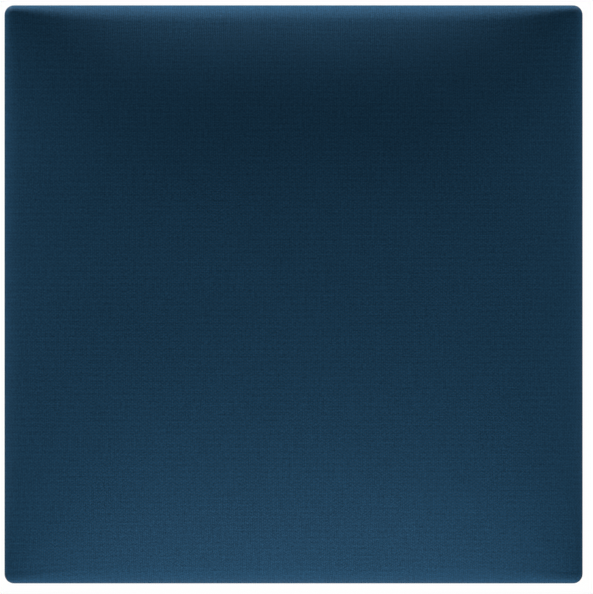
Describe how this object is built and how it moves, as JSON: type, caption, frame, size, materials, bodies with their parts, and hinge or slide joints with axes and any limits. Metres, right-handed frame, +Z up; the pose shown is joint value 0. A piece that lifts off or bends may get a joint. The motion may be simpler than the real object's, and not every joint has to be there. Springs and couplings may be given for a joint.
{
  "type": "wall punch pad",
  "caption": "Square padded wall pad: tight woven cover over crowned foam on a plywood board, hung on the wall by two interlocking Z-rails.",
  "frame": {"origin": "middle of the wall rail's two screw holes, on the wall plane", "axes": "+X across the pad, to the right as seen from the room; +Y into the wall, so the pad faces -Y; +Z up"},
  "size_m": [0.3, 0.077, 0.3],
  "materials": {
    "cover_fabric": "woven, short-pile sheen, petrol blue",
    "wadding_fibre": "bonded polyester fibre",
    "soft_foam": "open-cell foam",
    "firm_foam": "firm rebonded foam",
    "plywood": "sanded birch plywood",
    "wall_rail_aluminium": "mill-finish extrusion",
    "pad_rail_aluminium": "mill-finish extrusion",
    "screw_steel": "bright zinc plate",
    "staple_wire": "galvanised wire",
    "bumper_rubber": "moulded matt rubber"
  },
  "bodies": {
    "wall_side": {"wall_rail": "wall_rail_aluminium"},
    "pad": {"pad_rail": "pad_rail_aluminium", "pad_rail_screws": "screw_steel", "backing_board": "plywood", "bumper_left": "bumper_rubber", "bumper_right": "bumper_rubber", "bumper_washers": "screw_steel", "bumper_screws": "screw_steel", "foam_base": "firm_foam", "foam_top": "soft_foam", "wadding": "wadding_fibre", "cover": "cover_fabric", "cover_staples": "staple_wire"}
  },
  "joints": [
    {"name": "pad_lift", "type": "slide", "parent": "wall_side", "child": "pad", "axis": [0, 0, 1], "range_m": [0, 0.014]}
  ]
}
